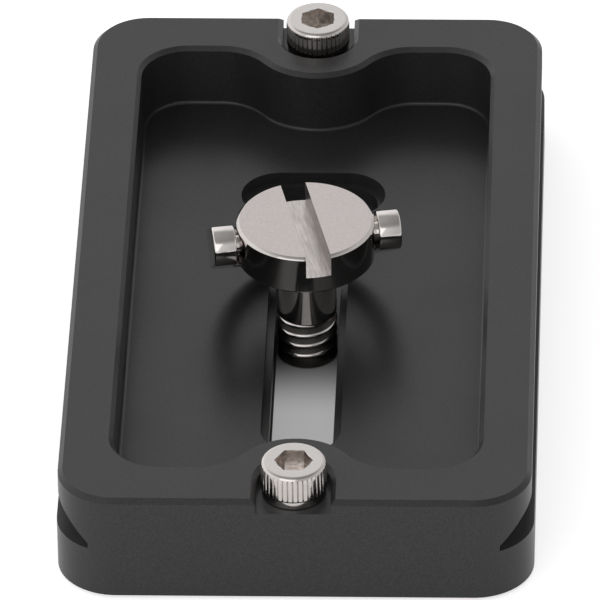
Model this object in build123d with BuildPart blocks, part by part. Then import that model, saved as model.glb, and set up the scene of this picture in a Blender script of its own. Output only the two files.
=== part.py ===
from build123d import *
import os
from math import asin, atan2, cos, hypot, radians, sin, sqrt, tan

# Tripod quick release plate, lying on its camera face with the underside up.
# X runs across the dovetail, Y along it and Z up, in millimetres.
# The origin is the middle of the surface that the plate lies on.

# Plate outline and dovetail section, from the camera face up
plate_length = 90.0
dovetail_width = 48.5
flange_overhang = 0.25
flange_height = 5.45
groove_root_height = 0.6
groove_depth = 3.2
dovetail_angle = 45.0
lip_height = 2.7
corner_radius = 5.9
edge_chamfer = 0.5

# Anti-slip pad on the camera face
pad_thickness = 1.5
pad_proud = 0.4
pad_margin = 3.1
pad_fit = 0.05

# Pocket in the underside
pocket_side_rim = 5.45
pocket_end_rim = 6.35
pocket_floor_thickness = 4.75
pocket_corner_radius = 4.9
pocket_blend_radius = 5.8
pocket_floor_radius = 0.4
pocket_chamfer = 0.45

# Stop screws in open seats at the two ends, with a round wall between each one and the pocket
stop_inset = 4.0
stop_head_diameter = 6.8
stop_head_height = 3.9
stop_head_chamfer = 0.6
stop_foot_chamfer = 0.25
stop_hex_across_flats = 3.1
stop_hex_depth = 2.0
stop_shank_diameter = 4.0
stop_shank_length = 7.5
stop_hole_fit = 0.05
stop_hole_spare = 0.8
stop_seat_depth = 1.55
stop_seat_clearance = 0.45
end_wall_inset = 4.5
end_wall_radius = 7.05

# Camera screw, 1/4 inch thread, from the tip up
screw_position = -0.9
screw_turn = 10.5
screw_thread_diameter = 6.35
screw_thread_length = 5.6
screw_tip_chamfer = 0.25
screw_neck_diameter = 6.1
screw_neck_length = 6.9
screw_head_diameter = 14.5
screw_head_height = 4.5
screw_head_chamfer = 0.3
coin_slot_width = 2.65
coin_slot_depth = 2.45

# T-shaped slot through the pocket floor, with a wider step on the pocket's side
slot_fit = 0.2
slot_step_width = 0.8
slot_step_depth = 1.35
slot_front_end = 25.55
cross_slot_end = 24.55
cross_slot_length = 13.8

# D-ring that folds about two pins in the screw head
ring_fit = 0.3
ring_bar_width = 2.4
ring_bar_thickness = 4.2
ring_reach = 13.1
ring_edge_chamfer = 0.35
ring_pin_diameter = 2.0
ring_pin_length = 1.7
ring_pin_fit = 0.05
ring_pin_end_gap = 0.2
ring_pivot_height = 2.2
ring_floor_gap = 0.05

# Levels and places that follow from the sizes above
metal_bottom = pad_proud
flange_top = metal_bottom + flange_height
groove_root_top = flange_top + groove_root_height
flank_slope = tan(radians(dovetail_angle))
plate_top = groove_root_top + groove_depth * flank_slope + lip_height
pocket_floor = metal_bottom + pocket_floor_thickness
seat_level = plate_top - stop_seat_depth
flange_width = dovetail_width + 2 * flange_overhang
groove_root_x = dovetail_width / 2 - groove_depth
flange_ledge = groove_depth + flange_overhang
groove_end_inset = corner_radius - sqrt(corner_radius**2 - (corner_radius - groove_depth) ** 2)
flange_corner_radius = flange_ledge + groove_end_inset + sqrt(2 * flange_ledge * groove_end_inset)
stop_y = plate_length / 2 - stop_inset
stop_hole_diameter = stop_shank_diameter + 2 * stop_hole_fit
seat_width = stop_head_diameter + 2 * stop_seat_clearance
end_wall_y = plate_length / 2 - end_wall_inset
pocket_width = dovetail_width - 2 * pocket_side_rim
pocket_length = plate_length - 2 * pocket_end_rim
slot_width = screw_thread_diameter + 2 * slot_fit
slot_front_y = slot_width / 2 - slot_front_end
cross_slot_y = cross_slot_end - slot_width / 2
head_bottom = screw_thread_length + screw_neck_length
head_top = head_bottom + screw_head_height
pivot_level = head_bottom + ring_pivot_height

# The screw's own frame, turned with its coin slot, and the frame of the folded ring
screw_frame = Plane(
    origin=(0, screw_position, 0),
    x_dir=(cos(radians(screw_turn)), sin(radians(screw_turn)), 0),
    z_dir=(0, 0, 1),
)
pivot_frame = screw_frame.offset(pivot_level)
ring_drop = pivot_level - pocket_floor - ring_floor_gap
ring_corner = hypot(ring_reach, ring_bar_thickness / 2)
ring_fold = asin(ring_drop / ring_corner) - atan2(ring_bar_thickness / 2, ring_reach)
ring_frame = Plane(
    origin=pivot_frame.origin,
    x_dir=pivot_frame.x_dir,
    z_dir=pivot_frame.z_dir * cos(ring_fold) + pivot_frame.y_dir * sin(ring_fold),
)


def t_slot_outline(margin=0.0, mode=Mode.ADD):
    """Draw the long slot and the cross slot at its rear end in the open sketch.

    margin widens the outline all round, in millimetres.
    """
    width = slot_width + 2 * margin
    with Locations((0, (slot_front_y + cross_slot_y) / 2)):
        SlotCenterToCenter(cross_slot_y - slot_front_y, width, rotation=90, mode=mode)
    with Locations((0, cross_slot_y)):
        SlotOverall(cross_slot_length + 2 * margin, width, mode=mode)


def build_plate_body():
    """Make the machined block with its grooves, pocket, seats and slot."""
    with BuildPart() as body:
        # Flange whose corners run into the block's where the grooves end, and the dovetail block on it
        with BuildSketch(Plane.XY.offset(metal_bottom)):
            RectangleRounded(flange_width, plate_length, flange_corner_radius)
            Rectangle(2 * groove_root_x, plate_length, mode=Mode.SUBTRACT)
            RectangleRounded(dovetail_width, plate_length, corner_radius)
        extrude(amount=flange_height)
        with BuildSketch(Plane.XY.offset(flange_top)):
            RectangleRounded(dovetail_width, plate_length, corner_radius)
        extrude(amount=plate_top - flange_top)

        # Undercut groove along both long sides
        outside_x = flange_width / 2 + groove_depth
        with BuildSketch(Plane.XZ):
            with BuildLine():
                Polyline(
                    (groove_root_x, flange_top),
                    (outside_x, flange_top),
                    (outside_x, groove_root_top + (outside_x - groove_root_x) * flank_slope),
                    (groove_root_x, groove_root_top),
                    close=True,
                )
            make_face()
            mirror(about=Plane.YZ)
        extrude(amount=plate_length, both=True, mode=Mode.SUBTRACT)

        # Pocket whose end walls swing round the stop screws
        with BuildSketch(Plane.XY.offset(plate_top)) as pocket:
            RectangleRounded(pocket_width, pocket_length, pocket_corner_radius)
            with Locations((0, end_wall_y), (0, -end_wall_y)):
                Circle(end_wall_radius, mode=Mode.SUBTRACT)
            wall_ends = pocket.vertices().filter_by(
                lambda v: abs(abs(v.Y) - pocket_length / 2) < 0.01 and abs(v.X) < end_wall_radius
            )
            fillet(wall_ends, pocket_blend_radius)
        extrude(amount=pocket_floor - plate_top, mode=Mode.SUBTRACT)
        floor_edges = body.edges().filter_by(lambda e: abs(e.center().Z - pocket_floor) < 0.01)
        fillet(floor_edges, pocket_floor_radius)

        # Open seats for the stop screws
        with BuildSketch(Plane.XY.offset(plate_top)):
            for end in (1, -1):
                with Locations((0, end * stop_y)):
                    Circle(seat_width / 2)
                with Locations((0, end * (stop_y + stop_inset))):
                    Rectangle(seat_width, 2 * stop_inset)
        extrude(amount=-stop_seat_depth, mode=Mode.SUBTRACT)

        # Broken edges all round the top face
        top_face = body.faces().sort_by(Axis.Z)[-1]
        outer_edges = top_face.outer_wire().edges()
        pocket_edges = top_face.inner_wires()[0].edges()
        chamfer(outer_edges, edge_chamfer)
        chamfer(pocket_edges, pocket_chamfer)

        # Stepped slot through the floor, recess for the pad and holes for the stop screws
        with BuildSketch(Plane.XY.offset(pocket_floor)):
            t_slot_outline(slot_step_width)
        extrude(amount=-slot_step_depth, mode=Mode.SUBTRACT)
        with BuildSketch(Plane.XY.offset(pocket_floor)):
            t_slot_outline()
        extrude(amount=-pocket_floor_thickness, mode=Mode.SUBTRACT)
        with BuildSketch(Plane.XY.offset(metal_bottom)):
            RectangleRounded(
                flange_width - 2 * pad_margin, plate_length - 2 * pad_margin, corner_radius - pad_margin
            )
        extrude(amount=pad_thickness - pad_proud, mode=Mode.SUBTRACT)
        with BuildSketch(Plane.XY.offset(seat_level)):
            with Locations((0, stop_y), (0, -stop_y)):
                Circle(stop_hole_diameter / 2)
        extrude(amount=-(stop_shank_length + stop_hole_spare), mode=Mode.SUBTRACT)
    return body


def build_anti_slip_pad():
    """Make the rubber sheet that the plate lies on."""
    inset = pad_margin + pad_fit
    with BuildPart() as pad:
        with BuildSketch():
            RectangleRounded(flange_width - 2 * inset, plate_length - 2 * inset, corner_radius - inset)
            t_slot_outline(mode=Mode.SUBTRACT)
        extrude(amount=pad_thickness)
    return pad


def build_camera_screw():
    """Turn the screw, cut its coin slot and drill the two pin holes."""
    thread = screw_thread_diameter / 2
    neck = screw_neck_diameter / 2
    head = screw_head_diameter / 2
    with BuildPart() as screw:
        with BuildSketch(Plane(screw_frame.origin, x_dir=screw_frame.x_dir, z_dir=-screw_frame.y_dir)):
            with BuildLine():
                Polyline(
                    (0, 0),
                    (thread - screw_tip_chamfer, 0),
                    (thread, screw_tip_chamfer),
                    (thread, screw_thread_length),
                    (neck, screw_thread_length),
                    (neck, head_bottom),
                    (head - screw_head_chamfer, head_bottom),
                    (head, head_bottom + screw_head_chamfer),
                    (head, head_top - screw_head_chamfer),
                    (head - screw_head_chamfer, head_top),
                    (0, head_top),
                    close=True,
                )
            make_face()
        revolve(axis=Axis(screw_frame.origin, screw_frame.z_dir))
        with BuildSketch(screw_frame.offset(head_top)):
            Rectangle(coin_slot_width, 2 * screw_head_diameter)
        extrude(amount=-coin_slot_depth, mode=Mode.SUBTRACT)
        for side in (1, -1):
            rim = pivot_frame.origin + pivot_frame.x_dir * (side * head)
            with BuildSketch(Plane(rim, x_dir=pivot_frame.y_dir, z_dir=pivot_frame.x_dir * side)):
                Circle(ring_pin_diameter / 2 + ring_pin_fit)
            extrude(amount=-(ring_pin_length + ring_pin_end_gap), mode=Mode.SUBTRACT)
    return screw


def build_d_ring():
    """Make the bow-shaped bail and the two pins that hold it in the screw head."""
    inner_half = screw_head_diameter / 2 + ring_fit
    outer_half = inner_half + ring_bar_width
    arm_length = ring_reach - outer_half
    with BuildPart() as ring:
        # Half-round bow on two straight arms
        with BuildSketch(ring_frame):
            with Locations((0, arm_length)):
                Circle(outer_half)
            with Locations((0, (arm_length - ring_bar_thickness) / 2)):
                Rectangle(2 * outer_half, arm_length + ring_bar_thickness)
            with Locations((0, arm_length)):
                Circle(inner_half, mode=Mode.SUBTRACT)
            with Locations((0, arm_length / 2 - ring_reach)):
                Rectangle(2 * inner_half, arm_length + 2 * ring_reach, mode=Mode.SUBTRACT)
        extrude(amount=ring_bar_thickness / 2, both=True)

        # Arm ends rounded about the pins
        with BuildSketch(Plane(ring_frame.origin, x_dir=ring_frame.y_dir, z_dir=ring_frame.x_dir)):
            with Locations((ring_reach, 0)):
                SlotCenterToCenter(2 * ring_reach, ring_bar_thickness)
        extrude(amount=2 * outer_half, both=True, mode=Mode.INTERSECT)
        seams = ring.edges().filter_by(Axis(ring_frame.origin, ring_frame.x_dir))
        seams += ring.edges().filter_by(Axis(ring_frame.origin, ring_frame.z_dir))
        chamfer(ring.edges() - seams, ring_edge_chamfer)
        for side in (1, -1):
            arm = ring_frame.origin + ring_frame.x_dir * (side * inner_half)
            with BuildSketch(Plane(arm, x_dir=ring_frame.y_dir, z_dir=ring_frame.x_dir * -side)):
                Circle(ring_pin_diameter / 2)
            extrude(amount=ring_fit + ring_pin_length)
    return ring


def build_stop_screw(end, hex_turn):
    """Make one socket head cap screw, seated at the front (-1) or rear (1) end.

    hex_turn turns the hexagon socket, in degrees.
    """
    head = stop_head_diameter / 2
    shank = stop_shank_diameter / 2
    with BuildPart() as stop:
        with BuildSketch(Plane(origin=(0, end * stop_y, seat_level), x_dir=(1, 0, 0), z_dir=(0, -1, 0))):
            with BuildLine():
                Polyline(
                    (0, -stop_shank_length),
                    (shank, -stop_shank_length),
                    (shank, 0),
                    (head - stop_foot_chamfer, 0),
                    (head, stop_foot_chamfer),
                    (head, stop_head_height - stop_head_chamfer),
                    (head - stop_head_chamfer, stop_head_height),
                    (0, stop_head_height),
                    close=True,
                )
            make_face()
        revolve(axis=Axis((0, end * stop_y, 0), (0, 0, 1)))
        with BuildSketch(Plane(origin=(0, end * stop_y, seat_level + stop_head_height))):
            RegularPolygon(stop_hex_across_flats / 2, 6, major_radius=False, rotation=hex_turn)
        extrude(amount=-stop_hex_depth, mode=Mode.SUBTRACT)
    return stop


plate_body = build_plate_body()
anti_slip_pad = build_anti_slip_pad()
camera_screw = build_camera_screw()
d_ring = build_d_ring()
stop_screw_front = build_stop_screw(-1, 0)
stop_screw_rear = build_stop_screw(1, 30)

nodes = {
    "plate_body": plate_body,
    "anti_slip_pad": anti_slip_pad,
    "camera_screw": camera_screw,
    "d_ring": d_ring,
    "stop_screw_front": stop_screw_front,
    "stop_screw_rear": stop_screw_rear,
}
os.makedirs("parts", exist_ok=True)
for name, node in nodes.items():
    node.part.label = name
    export_step(node.part, f"parts/{name}.step")
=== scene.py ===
"""Dressed scene of a tripod quick release plate that lies on its camera face, underside up."""

import logging
import math
from collections.abc import Callable, Sequence
from dataclasses import dataclass
from enum import Enum

import bmesh
import bpy
from mathutils import Matrix, Vector


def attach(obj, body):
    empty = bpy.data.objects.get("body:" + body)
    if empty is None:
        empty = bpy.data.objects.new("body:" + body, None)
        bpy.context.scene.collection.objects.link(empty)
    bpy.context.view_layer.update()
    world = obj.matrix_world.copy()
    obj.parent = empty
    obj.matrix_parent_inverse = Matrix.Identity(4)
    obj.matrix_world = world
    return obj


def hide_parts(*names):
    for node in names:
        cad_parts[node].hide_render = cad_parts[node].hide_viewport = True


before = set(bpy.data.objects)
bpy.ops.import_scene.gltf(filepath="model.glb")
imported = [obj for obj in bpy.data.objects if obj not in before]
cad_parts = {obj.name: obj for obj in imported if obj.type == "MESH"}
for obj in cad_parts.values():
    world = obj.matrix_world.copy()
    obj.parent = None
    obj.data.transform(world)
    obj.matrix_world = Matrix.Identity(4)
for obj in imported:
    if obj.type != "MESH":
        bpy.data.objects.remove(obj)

MM: float = 0.001
SAME_PLACE: float = 1e-7
SHARP_EDGE: float = 50.0
ROUND_SIDES: int = 64
PIN_SIDES: int = 40
LOG = logging.getLogger("quick_release_plate")

Place = tuple[float, float]
Colour = tuple[float, float, float]
NOISE_SPAN: Place = (0.3, 0.7)

SCREW_AXIS: Place = (0.0, -0.9)
SCREW_TURN: float = 10.5
COIN_SLOT_TURN: float = 12.8
PIN_LEVEL: float = 14.7


class Element(Enum):
    """What is picked in edit mode."""

    VERT = "VERT"
    EDGE = "EDGE"
    FACE = "FACE"


class Joining(Enum):
    """How two closed shapes are put together."""

    ADD = "UNION"
    CUT = "DIFFERENCE"
    KEEP_COMMON = "INTERSECT"


class Bench:
    """The hand operations that every new piece is modelled with. Sizes come in millimetres."""

    @staticmethod
    def clear() -> None:
        """Go back to object mode with nothing selected."""
        if bpy.context.mode != "OBJECT":
            bpy.ops.object.mode_set(mode="OBJECT")
        bpy.ops.object.select_all(action="DESELECT")

    @staticmethod
    def take(piece: bpy.types.Object) -> None:
        """Make one piece the only selected and active one.

        Args:
            piece: The piece to take up.
        """
        Bench.clear()
        piece.select_set(True)
        bpy.context.view_layer.objects.active = piece

    @staticmethod
    def edit(piece: bpy.types.Object, element: Element) -> None:
        """Open a piece in edit mode with nothing picked.

        Args:
            piece: The piece to open.
            element: What will be picked.
        """
        Bench.take(piece)
        bpy.ops.object.mode_set(mode="EDIT")
        bpy.ops.mesh.select_mode(type=element.value)
        bpy.ops.mesh.select_all(action="DESELECT")

    @staticmethod
    def pick(piece: bpy.types.Object, element: Element, wanted: Callable[..., bool]) -> int:
        """Pick the elements of an open piece that a test accepts.

        Args:
            piece: A piece in edit mode.
            element: What is picked.
            wanted: Test of one vertex, edge or face.

        Returns:
            How many elements were picked.
        """
        bpy.ops.mesh.select_all(action="DESELECT")
        mesh = bmesh.from_edit_mesh(piece.data)
        choices = {Element.VERT: mesh.verts, Element.EDGE: mesh.edges, Element.FACE: mesh.faces}
        count = 0
        for item in choices[element]:
            if wanted(item):
                item.select_set(True)
                count += 1
        mesh.select_flush_mode()
        bmesh.update_edit_mesh(piece.data)
        return count

    @staticmethod
    def settle(piece: bpy.types.Object) -> None:
        """Put a piece's place, turn and scale into its mesh.

        Args:
            piece: The piece to settle.
        """
        Bench.take(piece)
        bpy.ops.object.transform_apply(location=True, rotation=True, scale=True)

    @staticmethod
    def apply(piece: bpy.types.Object, modifier: bpy.types.Modifier) -> None:
        """Apply one modifier of a piece.

        Args:
            piece: The piece that has the modifier.
            modifier: The modifier, which is used up.
        """
        Bench.take(piece)
        bpy.ops.object.modifier_apply(modifier=modifier.name)

    @staticmethod
    def disc(name: str, radius: float, centre: Sequence[float], segments: int) -> bpy.types.Object:
        """Add a filled disc.

        Args:
            name: The piece's name.
            radius: The disc's radius.
            centre: Its middle, as x, y and z.
            segments: Sides of the disc.

        Returns:
            The disc, with its place in its mesh.
        """
        Bench.clear()
        bpy.ops.mesh.primitive_circle_add(
            vertices=segments, radius=radius * MM, fill_type="NGON", location=[value * MM for value in centre]
        )
        piece = bpy.context.active_object
        piece.name = name
        piece.data.name = name
        Bench.settle(piece)
        return piece

    @staticmethod
    def turn(name: str, profile: Sequence[Place], axis: Place, segments: int) -> bpy.types.Object:
        """Turn a profile about an upright axis by raising a disc ring by ring.

        Args:
            name: The piece's name.
            profile: Radius and height of each ring, from the bottom up.
            axis: Where the axis stands, as x and y.
            segments: Sides of the turned shape.

        Returns:
            The closed turned shape.
        """
        radius, height = profile[0]
        piece = Bench.disc(name, radius, (*axis, height), segments)
        bpy.ops.object.mode_set(mode="EDIT")
        bpy.ops.mesh.select_all(action="SELECT")
        for (radius, height), (next_radius, next_height) in zip(profile, profile[1:]):
            rise = (next_height - height) * MM
            bpy.ops.mesh.extrude_region_move(TRANSFORM_OT_translate={"value": (0.0, 0.0, rise)})
            grow = next_radius / radius
            middle = (axis[0] * MM, axis[1] * MM, next_height * MM)
            bpy.ops.transform.resize(value=(grow, grow, 1.0), center_override=middle)
        Bench.clean(piece)
        return piece

    @staticmethod
    def clean(piece: bpy.types.Object) -> None:
        """Merge doubled points and turn all faces outwards.

        Args:
            piece: The piece to clean.
        """
        Bench.take(piece)
        bpy.ops.object.mode_set(mode="EDIT")
        bpy.ops.mesh.select_all(action="SELECT")
        bpy.ops.mesh.remove_doubles(threshold=SAME_PLACE)
        bpy.ops.mesh.normals_make_consistent(inside=False)
        Bench.clear()

    @staticmethod
    def stadium(name: str, radius: float, ends: Sequence[Place], levels: Place) -> bpy.types.Object:
        """Raise a bar with two round ends.

        Args:
            name: The piece's name.
            radius: Radius of the ends.
            ends: Middle of the two round ends, both on one line along X or Y.
            levels: Bottom and top height.

        Returns:
            The closed bar.
        """
        start, end = (Vector((*place, levels[0])) for place in ends)
        way = (end - start).normalized()
        piece = Bench.disc(name, radius, start, ROUND_SIDES)
        Bench.edit(piece, Element.VERT)
        Bench.pick(piece, Element.VERT, lambda vert: (vert.co - start * MM).dot(way) > -SAME_PLACE)
        bpy.ops.transform.translate(value=(end - start) * MM)
        bpy.ops.mesh.select_all(action="SELECT")
        rise = (levels[1] - levels[0]) * MM
        bpy.ops.mesh.extrude_region_move(TRANSFORM_OT_translate={"value": (0.0, 0.0, rise)})
        Bench.clean(piece)
        return piece

    @staticmethod
    def block(name: str, size: Sequence[float], centre: Sequence[float], turn: float) -> bpy.types.Object:
        """Add a plain block to cut with.

        Args:
            name: The block's name.
            size: Its length along x, y and z.
            centre: Its middle.
            turn: Its turn about Z, in degrees.

        Returns:
            The block, with its place in its mesh.
        """
        Bench.clear()
        bpy.ops.mesh.primitive_cube_add(size=MM, location=[value * MM for value in centre])
        piece = bpy.context.active_object
        piece.name = name
        piece.scale = size
        piece.rotation_euler = (0.0, 0.0, math.radians(turn))
        Bench.settle(piece)
        return piece

    @staticmethod
    def rod(
        radius: float, length: float, centre: Sequence[float], turns: Sequence[float], sides: int = PIN_SIDES
    ) -> bpy.types.Object:
        """Add a straight rod to cut with or to add.

        Args:
            radius: Its radius, out to its corners.
            length: Its length.
            centre: Its middle.
            turns: Its turns about X, Y and Z, in degrees.
            sides: Its number of sides.

        Returns:
            The rod, with its place in its mesh.
        """
        Bench.clear()
        bpy.ops.mesh.primitive_cylinder_add(
            vertices=sides, radius=radius * MM, depth=length * MM,
            location=[value * MM for value in centre], rotation=[math.radians(value) for value in turns],
        )
        piece = bpy.context.active_object
        Bench.settle(piece)
        return piece

    @staticmethod
    def combine(piece: bpy.types.Object, other: bpy.types.Object, joining: Joining) -> None:
        """Join, cut or trim a piece with another one, which is used up.

        Args:
            piece: The piece that stays.
            other: The piece that is used up.
            joining: How they are put together.
        """
        modifier = piece.modifiers.new("combine", "BOOLEAN")
        modifier.operation = joining.value
        modifier.solver = "EXACT"
        modifier.object = other
        Bench.apply(piece, modifier)
        bpy.data.objects.remove(other, do_unlink=True)

    @staticmethod
    def soften(piece: bpy.types.Object, width: float, angle: float = SHARP_EDGE, segments: int = 2) -> None:
        """Round all edges that are sharper than an angle.

        Args:
            piece: The piece to round.
            width: Width of the rounding.
            angle: Smallest angle between two faces, in degrees.
            segments: Faces across the rounding.
        """
        modifier = piece.modifiers.new("soften", "BEVEL")
        modifier.width = width * MM
        modifier.segments = segments
        modifier.limit_method = "ANGLE"
        modifier.angle_limit = math.radians(angle)
        Bench.apply(piece, modifier)

    @staticmethod
    def merge(pieces: Sequence[bpy.types.Object]) -> bpy.types.Object:
        """Make several pieces one object that keeps the first one's name.

        Args:
            pieces: The pieces, the first of which stays.

        Returns:
            The one object.
        """
        Bench.take(pieces[0])
        for piece in pieces[1:]:
            piece.select_set(True)
        bpy.ops.object.join()
        return pieces[0]

    @staticmethod
    def shade(piece: bpy.types.Object, angle: float = 32.0) -> None:
        """Shade a piece smooth with its sharp edges and flat faces kept.

        Args:
            piece: The piece to shade.
            angle: Angle from which an edge counts as sharp, in degrees.
        """
        Bench.take(piece)
        bpy.ops.object.shade_smooth_by_angle(angle=math.radians(angle))
        modifier = piece.modifiers.new("weigh", "WEIGHTED_NORMAL")
        modifier.keep_sharp = True
        Bench.apply(piece, modifier)
        Bench.clear()


class NodeSheet:
    """A small helper that lays out the nodes of one material or world."""

    def __init__(self, owner: bpy.types.Material | bpy.types.World) -> None:
        """Open the nodes of a material or world.

        Args:
            owner: What the nodes belong to.
        """
        owner.use_nodes = True
        self.nodes = owner.node_tree.nodes
        self.links = owner.node_tree.links
        self.coordinates = self.nodes.new("ShaderNodeTexCoord").outputs

    def link(self, source: bpy.types.NodeSocket, target: bpy.types.NodeSocket) -> None:
        """Connect two sockets.

        Args:
            source: An output.
            target: The input that reads it.
        """
        self.links.new(source, target)

    def split(self, vector: bpy.types.NodeSocket) -> bpy.types.NodeOutputs:
        """Split a vector into X, Y and Z.

        Args:
            vector: The vector.

        Returns:
            The three values, by their axis.
        """
        node = self.nodes.new("ShaderNodeSeparateXYZ")
        self.link(vector, node.inputs["Vector"])
        return node.outputs

    def calc(self, operation: str, *values: bpy.types.NodeSocket | float) -> bpy.types.NodeSocket:
        """Lay out one sum.

        Args:
            operation: What a Math node does with the values.
            values: Sockets or plain numbers.

        Returns:
            The sum's value.
        """
        node = self.nodes.new("ShaderNodeMath")
        node.operation = operation
        for value, target in zip(values, node.inputs):
            if isinstance(value, bpy.types.NodeSocket):
                self.link(value, target)
            else:
                target.default_value = value
        return node.outputs["Value"]

    def remap(
        self, value: bpy.types.NodeSocket, span: Place, limits: Place, smooth: bool = False
    ) -> bpy.types.NodeSocket:
        """Let a value rise or fall between two limits.

        Args:
            value: The value.
            span: Values where the change begins and ends.
            limits: What comes out at those two values.
            smooth: Whether the change starts and ends softly.

        Returns:
            The changed value.
        """
        node = self.nodes.new("ShaderNodeMapRange")
        node.interpolation_type = "SMOOTHSTEP" if smooth else "LINEAR"
        for name, number in zip(("From Min", "From Max", "To Min", "To Max"), (*span, *limits)):
            node.inputs[name].default_value = number
        self.link(value, node.inputs["Value"])
        return node.outputs["Result"]

    def noise(
        self, scale: float, detail: float = 3.0, stretch: Sequence[float] = (1.0, 1.0, 1.0), turn: float = 0.0
    ) -> bpy.types.NodeSocket:
        """Lay out a noise on Object coordinates.

        Args:
            scale: Grains per metre.
            detail: Finer layers of the noise.
            stretch: How many times longer the grains are along x, y and z.
            turn: Turn of the grains about Z, in degrees.

        Returns:
            The noise's value.
        """
        mapping = self.nodes.new("ShaderNodeMapping")
        mapping.vector_type = "TEXTURE"
        mapping.inputs["Scale"].default_value = stretch
        mapping.inputs["Rotation"].default_value = (0.0, 0.0, math.radians(turn))
        self.link(self.coordinates["Object"], mapping.inputs["Vector"])
        texture = self.nodes.new("ShaderNodeTexNoise")
        texture.inputs["Scale"].default_value = scale
        texture.inputs["Detail"].default_value = detail
        self.link(mapping.outputs["Vector"], texture.inputs["Vector"])
        return texture.outputs["Fac"]

    def ramp(
        self, value: bpy.types.NodeSocket, low: Colour, high: Colour, span: Place = NOISE_SPAN
    ) -> bpy.types.NodeSocket:
        """Turn a value into a colour between two limits.

        Args:
            value: The value.
            low: Colour at the low end.
            high: Colour at the high end.
            span: Values at the two ends.

        Returns:
            The colour.
        """
        node = self.nodes.new("ShaderNodeValToRGB")
        node.color_ramp.elements[0].position = span[0]
        node.color_ramp.elements[0].color = (*low, 1.0)
        node.color_ramp.elements[1].position = span[1]
        node.color_ramp.elements[1].color = (*high, 1.0)
        self.link(value, node.inputs["Fac"])
        return node.outputs["Color"]


class FinishSheet(NodeSheet):
    """The nodes of one material, round its shader."""

    def __init__(self, name: str) -> None:
        """Start a material.

        Args:
            name: The material's name.
        """
        self.material = bpy.data.materials.new(name)
        super().__init__(self.material)
        self.shader = self.nodes["Principled BSDF"].inputs

    def bump(self, height: bpy.types.NodeSocket, depth: float, strength: float = 1.0) -> None:
        """Raise the surface by a height, on top of any bump laid before.

        Args:
            height: The height's value, from 0 to 1.
            depth: Real height of the value 1, in millimetres.
            strength: How much of it shows.
        """
        node = self.nodes.new("ShaderNodeBump")
        node.inputs["Strength"].default_value = strength
        node.inputs["Distance"].default_value = depth * MM
        self.link(height, node.inputs["Height"])
        normal = self.shader["Normal"]
        if normal.is_linked:
            self.link(normal.links[0].from_socket, node.inputs["Normal"])
        self.link(node.outputs["Normal"], normal)


@dataclass(frozen=True)
class BlackAnodising:
    """Bead-blasted aluminium with a black anodised skin."""

    dark: Colour = (0.0125, 0.0125, 0.0127)
    light: Colour = (0.0305, 0.0305, 0.031)
    roughness: Place = (0.29, 0.34)
    index: float = 1.49
    grain: float = 6500.0
    grain_depth: float = 0.0085
    clouds: float = 140.0

    def material(self) -> bpy.types.Material:
        """Lay out the finish.

        Returns:
            The material.
        """
        sheet = FinishSheet("black_anodising")
        grain = sheet.noise(self.grain, 2.0)
        cloud = sheet.noise(self.clouds, 4.0)
        sheet.link(sheet.ramp(grain, self.dark, self.light), sheet.shader["Base Color"])
        sheet.link(sheet.remap(cloud, NOISE_SPAN, self.roughness), sheet.shader["Roughness"])
        sheet.shader["IOR"].default_value = self.index
        sheet.bump(grain, self.grain_depth, 0.5)
        return sheet.material


@dataclass(frozen=True)
class BrightPlating:
    """Warm bright nickel on turned steel, from mirror bright to satin."""

    name: str
    dark: Colour = (0.60, 0.565, 0.545)
    light: Colour = (0.66, 0.62, 0.60)
    roughness: Place = (0.08, 0.13)
    grain: float = 900.0
    scratch_depth: float = 0.0
    scratch_turn: float = 0.0
    scratch_grain: float = 6000.0
    scratch_stretch: float = 14.0

    def material(self) -> bpy.types.Material:
        """Lay out the finish.

        Returns:
            The material.
        """
        sheet = FinishSheet(self.name)
        cloud = sheet.noise(self.grain, 4.0)
        sheet.link(sheet.remap(cloud, NOISE_SPAN, self.roughness), sheet.shader["Roughness"])
        sheet.shader["Metallic"].default_value = 1.0
        tone = cloud
        if self.scratch_depth > 0.0:
            tone = sheet.noise(self.scratch_grain, 3.0, (1.0, self.scratch_stretch, 1.0), self.scratch_turn)
            sheet.bump(tone, self.scratch_depth, 0.6)
        sheet.link(sheet.ramp(tone, self.dark, self.light), sheet.shader["Base Color"])
        return sheet.material


@dataclass(frozen=True)
class BlackRubber:
    """Matte black moulded rubber."""

    dark: Colour = (0.008, 0.008, 0.008)
    light: Colour = (0.014, 0.014, 0.014)
    roughness: Place = (0.66, 0.8)
    grain: float = 5000.0
    grain_depth: float = 0.02
    clouds: float = 500.0

    def material(self) -> bpy.types.Material:
        """Lay out the finish.

        Returns:
            The material.
        """
        sheet = FinishSheet("black_rubber_pad")
        grain = sheet.noise(self.grain)
        sheet.link(sheet.ramp(grain, self.dark, self.light), sheet.shader["Base Color"])
        roughness = sheet.remap(sheet.noise(self.clouds), NOISE_SPAN, self.roughness)
        sheet.link(roughness, sheet.shader["Roughness"])
        sheet.bump(grain, self.grain_depth, 0.6)
        return sheet.material


def dress(piece: bpy.types.Object, material: bpy.types.Material) -> None:
    """Give a piece one material.

    Args:
        piece: A new piece or a node of the frame.
        material: Its finish.
    """
    piece.data.materials.clear()
    piece.data.materials.append(material)


def assign(piece: bpy.types.Object, material: bpy.types.Material, wanted: Callable[..., bool]) -> None:
    """Give some faces of a piece a further material.

    Args:
        piece: The piece.
        material: The finish of those faces.
        wanted: Test of one face.
    """
    piece.data.materials.append(material)
    Bench.edit(piece, Element.FACE)
    Bench.pick(piece, Element.FACE, wanted)
    piece.active_material_index = len(piece.data.materials) - 1
    bpy.ops.object.material_slot_assign()
    Bench.clear()


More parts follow.
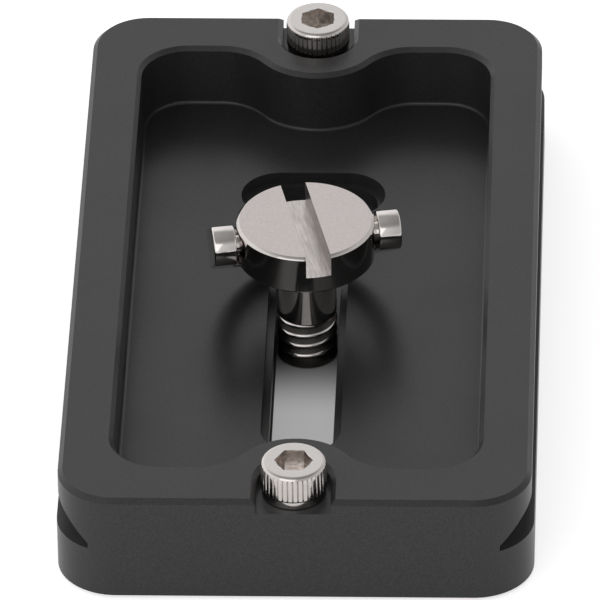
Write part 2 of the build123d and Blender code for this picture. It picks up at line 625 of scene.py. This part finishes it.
OILED_SOCKET = BrightPlating("oiled_socket", (0.36, 0.335, 0.317), (0.8, 0.75, 0.715), (0.1, 0.2), 1500.0)
# Painted shade: a dark colour for the thread's groove, the tip's side, the head's underside and the stop
# screws' groove.
PAINTED_SHADE_STEEL = BrightPlating("painted_shade_steel", (0.05, 0.047, 0.045), (0.09, 0.085, 0.08), (0.4, 0.5))
SATIN_CAP = BrightPlating("satin_cap", (0.63, 0.601, 0.586), (0.72, 0.686, 0.67), (0.28, 0.34), 5500.0)
SATIN_TOP = BrightPlating("satin_top", (0.56, 0.512, 0.499), (0.67, 0.612, 0.597), (0.3, 0.36), 5500.0)
SLOT_FLOOR = BrightPlating(
    "scratched_slot", (0.46, 0.425, 0.41), (0.72, 0.67, 0.65), (0.26, 0.36),
    scratch_depth=0.006, scratch_turn=COIN_SLOT_TURN,
)
# Painted shade: the coin slot's walls get a darker copy of the slot floor's plating.
PAINTED_SHADE_WALL = BrightPlating("painted_shade_slot_wall", (0.22, 0.203, 0.197), (0.42, 0.39, 0.375), (0.26, 0.36))
BRIGHT_SCREW = BrightPlating("bright_screw")
BRIGHT_BAIL = BrightPlating("bright_bail", (0.70, 0.662, 0.64), (0.76, 0.72, 0.695))


@dataclass
class PlateBody:
    """The machined block, which keeps its own solid."""

    finish: BlackAnodising = BlackAnodising()

    def build(self) -> bpy.types.Object:
        """Dress the solid.

        Returns:
            The block.
        """
        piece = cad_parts["plate_body"]
        dress(piece, self.finish.material())
        return piece


@dataclass
class AntiSlipPad:
    """The rubber sheet on the camera face, with the slot through it."""

    width: float = 42.7
    length: float = 83.7
    thickness: float = 1.5
    corner: float = 2.75
    slot_radius: float = 3.25
    slot_front: Place = (0.0, -22.3)
    slot_rear: Place = (0.0, 21.3)
    cross_reach: float = 3.65
    edge: float = 0.12
    finish: BlackRubber = BlackRubber()

    def slot(self, name: str, levels: Place) -> bpy.types.Object:
        """Raise the T-shaped slot as a solid.

        Args:
            name: The solid's name.
            levels: Bottom and top height.

        Returns:
            The solid.
        """
        rear = self.slot_rear[1]
        long_slot = Bench.stadium(name, self.slot_radius, (self.slot_front, self.slot_rear), levels)
        across = ((-self.cross_reach, rear), (self.cross_reach, rear))
        Bench.combine(long_slot, Bench.stadium("across", self.slot_radius, across, levels), Joining.ADD)
        return long_slot

    def build(self) -> bpy.types.Object:
        """Model the sheet.

        Returns:
            The pad.
        """
        Bench.clear()
        bpy.ops.mesh.primitive_plane_add(size=MM)
        pad = bpy.context.active_object
        pad.name = "rubber_pad"
        pad.scale = (self.width, self.length, 1.0)
        Bench.settle(pad)
        Bench.edit(pad, Element.VERT)
        bpy.ops.mesh.select_all(action="SELECT")
        bpy.ops.mesh.bevel(offset=self.corner * MM, segments=10, affect="VERTICES")
        bpy.ops.mesh.select_all(action="SELECT")
        bpy.ops.mesh.extrude_region_move(TRANSFORM_OT_translate={"value": (0.0, 0.0, self.thickness * MM)})
        Bench.clean(pad)
        Bench.combine(pad, self.slot("hole", (-1.0, self.thickness + 1.0)), Joining.CUT)
        Bench.soften(pad, self.edge)
        Bench.shade(pad)
        dress(pad, self.finish.material())
        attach(pad, "plate")
        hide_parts("anti_slip_pad")
        return pad


@dataclass
class CameraScrew:
    """The coin-slotted camera screw with its real thread."""

    axis: Place = SCREW_AXIS
    turn: float = SCREW_TURN
    thread_radius: float = 3.175
    thread_root: float = 2.5
    thread_bottom: float = 1.5
    thread_top: float = 5.6
    thread_overlap: float = 0.02
    thread_runout: float = 0.1
    tip_edge: float = 0.2
    pitch: float = 1.27
    worn_edge: Place = (0.12, 0.16)
    thread_edge: float = 0.03
    neck_radius: float = 3.15
    neck_fillet: float = 0.25
    head_bottom: float = 12.5
    head_top: float = 17.0
    head_radius: float = 7.25
    head_edge: float = 0.3
    head_sides: int = 120
    slot_width: float = 2.65
    slot_depth: float = 2.45
    slot_turn: float = COIN_SLOT_TURN
    pin_level: float = PIN_LEVEL
    pin_hole_radius: float = 1.05
    pin_hole_depth: float = 1.9
    edge: float = 0.07

    @staticmethod
    def across(turn: float) -> Vector:
        """Give the direction across the head at a turn about Z.

        Args:
            turn: The turn, in degrees.

        Returns:
            The level direction.
        """
        return Vector((math.cos(math.radians(turn)), math.sin(math.radians(turn)), 0.0))

    def thread(self) -> bpy.types.Object:
        """Wind the thread's tooth up the axis and trim it to its length.

        Returns:
            The closed threaded stretch.
        """
        Bench.clear()
        bpy.ops.mesh.primitive_plane_add(size=MM)
        thread = bpy.context.active_object
        thread.name = "thread"
        Bench.edit(thread, Element.VERT)
        Bench.pick(thread, Element.VERT, lambda vert: vert.co.x > 0 or vert.co.y > 0)
        bpy.ops.mesh.delete(type="VERT")
        bpy.ops.mesh.select_all(action="SELECT")
        start = Vector((self.thread_root, 0.0, self.thread_bottom - 2.0 * self.pitch)) * MM
        corner = bmesh.from_edit_mesh(thread.data).verts[:][0].co
        bpy.ops.transform.translate(value=start - corner)
        depth = self.thread_radius - self.thread_root
        slope = math.tan(math.radians(30.0))
        worn, worn_rise = self.worn_edge
        tooth = [(depth, depth * slope), (0.0, self.pitch / 8.0), (-worn, worn_rise)]
        tooth.append((worn - depth, (depth - worn) * slope))
        tooth.append((0.0, self.pitch - sum(rise for _, rise in tooth)))
        for out, rise in tooth:
            bpy.ops.mesh.extrude_vertices_move(TRANSFORM_OT_translate={"value": (out * MM, 0.0, rise * MM)})
        Bench.clear()
        winding = thread.modifiers.new("winding", "SCREW")
        winding.axis = "Z"
        winding.screw_offset = self.pitch * MM
        winding.iterations = 7
        winding.steps = winding.render_steps = 72
        winding.use_merge_vertices = True
        winding.merge_threshold = 1e-6
        Bench.apply(thread, winding)
        thread.location = (self.axis[0] * MM, self.axis[1] * MM, 0.0)
        Bench.settle(thread)
        for level, upwards in ((self.thread_bottom, False), (self.thread_top, True)):
            Bench.edit(thread, Element.FACE)
            bpy.ops.mesh.select_all(action="SELECT")
            bpy.ops.mesh.bisect(
                plane_co=(0.0, 0.0, level * MM), plane_no=(0.0, 0.0, 1.0), use_fill=True,
                clear_outer=upwards, clear_inner=not upwards, threshold=1e-8,
            )
        Bench.clean(thread)
        return thread

    def finish(self, piece: bpy.types.Object) -> None:
        """Give the head's top and the coin slot their own finishes, and painted shade to the coin slot's
        walls, the thread's groove, the tip's side and the head's underside.

        Args:
            piece: The whole screw.
        """
        across = self.across(self.slot_turn)
        axis = Vector((*self.axis, 0.0)) * MM
        floor = self.head_top - self.slot_depth

        def on_top(face: bmesh.types.BMFace) -> bool:
            """Say whether a face is part of the head's top."""
            return face.calc_center_median().z > (self.head_top - 0.01) * MM and face.normal.z > 0.9

        def in_slot(face: bmesh.types.BMFace) -> bool:
            """Say whether a face is a wall or the floor of the coin slot."""
            middle = face.calc_center_median()
            beside = abs((middle - axis).dot(across)) < (self.slot_width / 2.0 + 0.02) * MM
            deep = (floor - 0.02) * MM < middle.z < (self.head_top - 0.1) * MM
            return beside and deep and abs(face.normal.y) < 0.5

        def painted_shade_slot_wall(face: bmesh.types.BMFace) -> bool:
            """Say whether a face is a wall of the coin slot, which gets painted shade."""
            return in_slot(face) and abs(face.normal.z) < 0.5

        def oiled(face: bmesh.types.BMFace) -> bool:
            """Say whether a face is in the thread's groove, on the tip's side or the head's underside, which
            get painted shade.
            """
            middle = face.calc_center_median()
            near = (middle - axis).to_2d().length < (self.thread_radius - self.worn_edge[0]) * MM
            on_thread = near and self.thread_bottom * MM < middle.z < self.thread_top * MM
            on_tip = (self.tip_edge + 0.05) * MM < middle.z < self.thread_bottom * MM
            return on_thread or on_tip or (face.normal.z < -0.9 and middle.z > (self.head_bottom - 0.1) * MM)

        assign(piece, SATIN_TOP.material(), on_top)
        assign(piece, SLOT_FLOOR.material(), in_slot)
        # Painted shade on the coin slot's walls.
        assign(piece, PAINTED_SHADE_WALL.material(), painted_shade_slot_wall)
        # Painted shade on the thread's groove, the tip's side and the head's underside.
        assign(piece, PAINTED_SHADE_STEEL.material(), oiled)

    def build(self) -> bpy.types.Object:
        """Model the screw.

        Returns:
            The screw.
        """
        core = self.thread_root - self.thread_overlap
        edge = self.head_edge
        tip = self.thread_radius - self.thread_overlap
        screw = Bench.turn(
            "slotted_screw",
            (
                (tip - self.tip_edge, 0.0),
                (tip - 0.3 * self.tip_edge, 0.3 * self.tip_edge),
                (tip, self.tip_edge),
                (tip, self.thread_bottom - self.thread_runout),
                (core, self.thread_bottom),
                (core, self.thread_top),
                (self.neck_radius, self.thread_top + self.thread_runout),
                (self.neck_radius, self.head_bottom - self.neck_fillet),
                (self.neck_radius + 0.32 * self.neck_fillet, self.head_bottom - 0.32 * self.neck_fillet),
                (self.neck_radius + self.neck_fillet, self.head_bottom),
                (self.head_radius - edge, self.head_bottom),
                (self.head_radius, self.head_bottom + edge),
                (self.head_radius, self.head_top - edge),
                (self.head_radius - edge, self.head_top),
            ),
            self.axis,
            self.head_sides,
        )
        cutter_height = 4.0
        middle = self.head_top - self.slot_depth + cutter_height / 2.0
        cutter_size = (self.slot_width, 4.0 * self.head_radius, cutter_height)
        slot = Bench.block("slot", cutter_size, (*self.axis, middle), self.slot_turn)
        Bench.combine(screw, slot, Joining.CUT)
        drill_length = 4.0
        for way in (1.0, -1.0):
            reach = way * (self.head_radius - self.pin_hole_depth + drill_length / 2.0)
            place = Vector((*self.axis, self.pin_level)) + self.across(self.turn) * reach
            drill = Bench.rod(self.pin_hole_radius, drill_length, place, (0.0, 90.0, self.turn))
            Bench.combine(screw, drill, Joining.CUT)
        Bench.soften(screw, self.edge, 30.0)
        thread = self.thread()
        Bench.soften(thread, self.thread_edge, segments=1)
        piece = Bench.merge((screw, thread))
        Bench.shade(piece)
        dress(piece, BRIGHT_SCREW.material())
        self.finish(piece)
        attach(piece, "screw")
        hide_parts("camera_screw")
        return piece


@dataclass
class FoldingRing:
    """The D-shaped bail: a flat bar bent to a bow on two straight arms, with a pin at each end."""

    pivot: Sequence[float] = (*SCREW_AXIS, PIN_LEVEL)
    turn: float = SCREW_TURN
    floor_drop: float = 9.5
    inner_radius: float = 7.55
    bar_width: float = 2.4
    bar_thickness: float = 4.2
    reach: float = 13.1
    edge: float = 0.2
    pin_radius: float = 1.0
    pin_length: float = 2.0
    pin_root: float = 0.4

    def build(self) -> bpy.types.Object:
        """Model the bail flat about its pins, then fold it back onto the pocket's floor.

        Returns:
            The bail.
        """
        outer_radius = self.inner_radius + self.bar_width
        bow = (0.0, self.reach - outer_radius)
        half = self.bar_thickness / 2.0
        bail = Bench.stadium("bail", outer_radius, (bow, (0.0, -outer_radius)), (-2.0 * half, 2.0 * half))
        inner_ends = (bow, (0.0, -3.0 * outer_radius))
        inside = Bench.stadium("inside", self.inner_radius, inner_ends, (-3.0 * half, 3.0 * half))
        Bench.combine(bail, inside, Joining.CUT)
        side_ends = ((0.0, 0.0), (0.0, 2.0 * self.reach))
        side = Bench.stadium("side", half, side_ends, (-2.0 * outer_radius, 2.0 * outer_radius))
        side.rotation_euler = (0.0, math.pi / 2.0, 0.0)
        Bench.settle(side)
        Bench.combine(bail, side, Joining.KEEP_COMMON)
        Bench.soften(bail, self.edge, segments=3)
        length = self.pin_length + self.pin_root
        for way in (1.0, -1.0):
            middle = way * (self.inner_radius + self.pin_root - length / 2.0)
            pin = Bench.rod(self.pin_radius, length, (middle, 0.0, 0.0), (0.0, 90.0, 0.0))
            Bench.combine(bail, pin, Joining.ADD)
        fold = math.asin(self.floor_drop / math.hypot(self.reach, half)) - math.atan2(half, self.reach)
        bail.rotation_euler = (-fold, 0.0, math.radians(self.turn))
        bail.location = Vector(self.pivot) * MM
        Bench.settle(bail)
        Bench.shade(bail, 40.0)
        dress(bail, BRIGHT_BAIL.material())
        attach(bail, "ring")
        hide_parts("d_ring")
        return bail


@dataclass
class StopScrew:
    """A knurled socket head cap screw in one end of the plate."""

    name: str
    node: str
    end: float
    hex_turn: float
    seat: float = 10.8
    head_radius: float = 3.4
    head_height: float = 3.9
    band_radius: float = 3.3
    band_height: float = 1.0
    groove_height: float = 0.16
    groove_depth: float = 0.12
    knurl_bottom: float = 1.03
    knurl_top: float = 3.15
    knurl_depth: float = 0.16
    knurls: int = 40
    knurl_sides: int = 6
    hex_flats: float = 3.45
    hex_depth: float = 2.0
    shank_radius: float = 1.98
    shank_length: float = 7.4
    shank_edge: float = 0.3
    foot_edge: float = 0.1
    crown: Sequence[Place] = ((0.05, 0.3), (0.16, 0.1), (0.36, 0.0), (0.5, 0.0))
    mouth: Sequence[Place] = ((-0.1, -0.18), (0.3, 0.22))

    def build(self) -> bpy.types.Object:
        """Model the screw.

        Returns:
            The screw.
        """
        axis = (0.0, self.end)
        top = self.seat + self.head_height
        tip = self.seat - self.shank_length
        band_top = self.seat + self.band_height
        groove_radius = self.band_radius - self.groove_depth
        profile = [
            (self.shank_radius - self.shank_edge, tip),
            (self.shank_radius, tip + self.shank_edge),
            (self.shank_radius, self.seat),
            (self.band_radius - self.foot_edge, self.seat),
            (self.band_radius, self.seat + self.foot_edge),
            (self.band_radius, band_top - self.groove_height),
            (groove_radius, band_top - 0.7 * self.groove_height),
            (groove_radius, band_top),
            (self.head_radius, self.seat + self.knurl_bottom),
            (self.head_radius, self.seat + self.knurl_top),
        ]
        profile += [(self.head_radius - inset, top - drop) for inset, drop in self.crown]
        piece = Bench.turn(self.name, profile, axis, self.knurls * self.knurl_sides)
        self.knurl(piece)
        corner = self.hex_flats / math.sqrt(3.0)
        socket_turns = (0.0, 0.0, self.hex_turn + 30.0)
        socket = Bench.rod(corner, 2.0 * self.hex_depth, (*axis, top), socket_turns, 6)
        Bench.combine(piece, socket, Joining.CUT)
        cone = [(self.hex_flats / 2.0 + out, top + rise) for out, rise in self.mouth]
        Bench.combine(piece, Bench.turn("mouth", cone, axis, ROUND_SIDES), Joining.CUT)
        Bench.shade(piece, 40.0)
        dress(piece, BrightPlating(f"bright_{self.name}", roughness=(0.11, 0.17)).material())
        self.finish(piece, top)
        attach(piece, "plate")
        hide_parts(self.node)
        return piece

    def finish(self, piece: bpy.types.Object, top: float) -> None:
        """Give the head's top and the hexagon socket their own finishes, and painted shade to the groove.

        Args:
            piece: The whole screw.
            top: Height of the head's top.
        """
        axis = Vector((0.0, self.end * MM))

        def on_top(face: bmesh.types.BMFace) -> bool:
            """Say whether a face is part of the head's top."""
            return face.normal.z > 0.98 and face.calc_center_median().z > (top - 0.01) * MM

        def in_socket(face: bmesh.types.BMFace) -> bool:
            """Say whether a face is a wall or the floor of the socket."""
            middle = face.calc_center_median()
            near = (middle.to_2d() - axis).length < self.hex_flats * 0.6 * MM
            return near and (top - self.hex_depth - 0.01) * MM < middle.z < (top - 0.2) * MM

        def in_groove(face: bmesh.types.BMFace) -> bool:
            """Say whether a face lies in the groove under the knurl."""
            middle = face.calc_center_median()
            height = middle.z / MM - self.seat - self.band_height
            outside = (middle.to_2d() - axis).length > self.shank_radius * MM
            return outside and -self.groove_height < height < 0.0

        assign(piece, SATIN_CAP.material(), on_top)
        assign(piece, OILED_SOCKET.material(), in_socket)
        # Painted shade in the groove under the knurl.
        assign(piece, PAINTED_SHADE_STEEL.material(), in_groove)

    def knurl(self, piece: bpy.types.Object) -> None:
        """Press the narrow grooves of the straight knurl into the head's side.

        Args:
            piece: The turned screw, with some sides to each knurl.
        """
        bottom = (self.seat + self.knurl_bottom) * MM
        top = (self.seat + self.knurl_top) * MM
        step = 2.0 * math.pi / (self.knurls * self.knurl_sides)

        def grooved(vert: bmesh.types.BMVert) -> bool:
            """Say whether a point lies in the middle of a groove."""
            angle = math.atan2(vert.co.y - self.end * MM, vert.co.x)
            return bottom - 1e-6 < vert.co.z < top + 1e-6 and round(angle / step) % self.knurl_sides == 0

        Bench.edit(piece, Element.VERT)
        Bench.pick(piece, Element.VERT, grooved)
        shrink = 1.0 - self.knurl_depth / self.head_radius
        middle = (0.0, self.end * MM, (bottom + top) / 2.0)
        bpy.ops.transform.resize(value=(shrink, shrink, 1.0), center_override=middle)
        Bench.clear()


@dataclass
class Studio:
    """Floor, light and camera."""

    target: Sequence[float] = (-0.751, 0.0, 6.120)
    azimuth: float = 2.3608
    elevation: float = 34.7375
    roll: float = 0.9651
    distance: float = 1167.3
    lens: float = 664.56
    sensor: float = 36.0
    near_limit: float = 0.05
    floor_size: float = 3.0
    floor_gap: float = 0.02
    floor_colour: Colour = (0.92, 0.92, 0.92)
    # Painted shade: the floor's colour under the plate is this darker grey.
    painted_shade_colour: Colour = (0.3, 0.3, 0.3)
    floor_glow: float = 0.62
    mirrored_glow: float = 0.55
    # Painted light: the floor under the slot's front glows, fading out towards the screw.
    slot_painted_light: float = 0.3
    slot_painted_light_span: Place = (-0.0125, -0.002)
    glow_reach: float = 0.5
    plate_mask: Sequence[float] = (47.0, 88.0, 5.5)
    right_fade: Sequence[float] = (-0.3, 0.6, 1.05, 0.65)
    front_fade: Sequence[float] = (-0.9, 0.2, 0.85, 1.0)
    top_fade: Sequence[float] = (0.55, 0.9, 1.0, 0.4)
    lamp_side: float = 0.6
    lamp_power: float = 0.7
    lamp_place: Sequence[float] = (-0.2, -0.6, 0.33)

    def camera(self) -> None:
        """Set the camera at the photograph's angle."""
        azimuth, elevation, roll = map(math.radians, (self.azimuth, self.elevation, self.roll))
        level = math.cos(elevation)
        back = Vector((math.sin(azimuth) * level, -math.cos(azimuth) * level, math.sin(elevation)))
        right = Vector((math.cos(azimuth), math.sin(azimuth), 0.0))
        up = back.cross(right)
        rolled_right = right * math.cos(roll) - up * math.sin(roll)
        rolled_up = up * math.cos(roll) + right * math.sin(roll)
        eye = (Vector(self.target) + back * self.distance) * MM
        data = bpy.data.cameras.new("camera")
        data.lens = self.lens
        data.sensor_width = self.sensor
        data.clip_start = self.near_limit
        camera = bpy.data.objects.new("camera", data)
        matrix = Matrix((rolled_right, rolled_up, back)).transposed().to_4x4()
        matrix.translation = eye
        camera.matrix_world = matrix
        bpy.context.scene.collection.objects.link(camera)
        bpy.context.scene.camera = camera

    def floor(self) -> None:
        """Lay a plain pale floor, with painted shade in its colour under the plate and painted light under
        the slot's front.
        """
        Bench.clear()
        bpy.ops.mesh.primitive_plane_add(size=self.floor_size, location=(0.0, 0.0, -self.floor_gap * MM))
        floor = bpy.context.active_object
        floor.name = "floor"
        Bench.settle(floor)
        sheet = FinishSheet("white_floor")
        beside, under = self.masks(sheet)
        # Painted shade: the base colour goes from the pale floor beside the plate to a dark grey under it.
        colour = sheet.ramp(beside, self.painted_shade_colour, self.floor_colour, (0.0, 1.0))
        sheet.link(colour, sheet.shader["Base Color"])
        sheet.shader["Roughness"].default_value = 0.9
        sheet.shader["Specular IOR Level"].default_value = 0.0
        sheet.shader["Emission Color"].default_value = (1.0, 1.0, 1.0, 1.0)
        rays = sheet.nodes.new("ShaderNodeLightPath").outputs
        mirrored = sheet.calc("MAXIMUM", rays["Is Glossy Ray"], rays["Is Transmission Ray"])
        mirrored = sheet.calc("MULTIPLY", mirrored, self.mirrored_glow)
        seen = sheet.calc("MAXIMUM", rays["Is Camera Ray"], mirrored)
        # Beside the plate the glow is the pale backdrop; under the slot's front it is painted light.
        glow = sheet.calc("MAXIMUM", sheet.calc("MULTIPLY", beside, self.floor_glow), under)
        sheet.link(sheet.calc("MULTIPLY", seen, glow), sheet.shader["Emission Strength"])
        dress(floor, sheet.material)

    def masks(self, sheet: FinishSheet) -> tuple[bpy.types.NodeSocket, bpy.types.NodeSocket]:
        """Lay out where the floor is beside the plate, and how much painted light glows on it under the
        slot's front.

        Args:
            sheet: The floor's material.

        Returns:
            A value that is 0 under the plate and 1 beside it, and the strength of the painted light under the
            slot.
        """
        place = sheet.split(sheet.coordinates["Object"])
        width, length, corner = self.plate_mask
        squares = []
        for axis, size in (("X", width), ("Y", length)):
            out = sheet.calc("ABSOLUTE", place[axis])
            beyond = sheet.calc("SUBTRACT", out, (size / 2.0 - corner) * MM)
            squares.append(sheet.calc("POWER", sheet.calc("MAXIMUM", beyond, 0.0), 2.0))
        reach = sheet.calc("SQRT", sheet.calc("ADD", *squares))
        edge = (corner * MM, (corner + self.glow_reach) * MM)
        beside = sheet.remap(reach, edge, (0.0, 1.0), smooth=True)
        # Painted light under the slot's front, fading out towards the screw.
        under = sheet.remap(place["Y"], self.slot_painted_light_span, (self.slot_painted_light, 0.0), smooth=True)
        return beside, under

    def light(self) -> None:
        """Light the plate softly from all round, less from above, and a little more from low in front."""
        world = bpy.data.worlds.new("soft_room")
        sheet = NodeSheet(world)
        background = sheet.nodes["Background"].inputs
        background["Color"].default_value = (1.0, 1.0, 1.0, 1.0)
        direction = sheet.split(sheet.coordinates["Generated"])
        fades = {"X": self.right_fade, "Y": self.front_fade, "Z": self.top_fade}
        across, along, up = (
            sheet.remap(direction[axis], fade[:2], fade[2:], smooth=True) for axis, fade in fades.items()
        )
        level = sheet.calc("MULTIPLY", sheet.calc("MULTIPLY", across, along), up)
        sheet.link(level, background["Strength"])
        bpy.context.scene.world = world
        lamp = bpy.data.lights.new("softbox", "AREA")
        lamp.shape = "RECTANGLE"
        lamp.size = lamp.size_y = self.lamp_side
        lamp.energy = self.lamp_power
        softbox = bpy.data.objects.new("softbox", lamp)
        softbox.location = self.lamp_place
        softbox.rotation_euler = (-softbox.location).to_track_quat("-Z", "Y").to_euler()
        bpy.context.scene.collection.objects.link(softbox)

    def build(self) -> None:
        """Set up the whole studio."""
        self.floor()
        self.light()
        self.camera()
        bpy.context.scene.view_settings.view_transform = "Standard"


def main() -> None:
    """Build the pieces in order and report each one."""
    logging.basicConfig(level=logging.INFO, format="%(message)s")
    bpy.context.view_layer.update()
    pieces = (
        PlateBody(),
        AntiSlipPad(),
        CameraScrew(),
        FoldingRing(),
        StopScrew("front_stop", "stop_screw_front", -41.0, 0.0),
        StopScrew("rear_stop", "stop_screw_rear", 41.0, 30.0),
    )
    for maker in pieces:
        piece = maker.build()
        LOG.info("%s: %d faces", piece.name, len(piece.data.polygons))
    Studio().build()


if __name__ == "__main__":
    main()
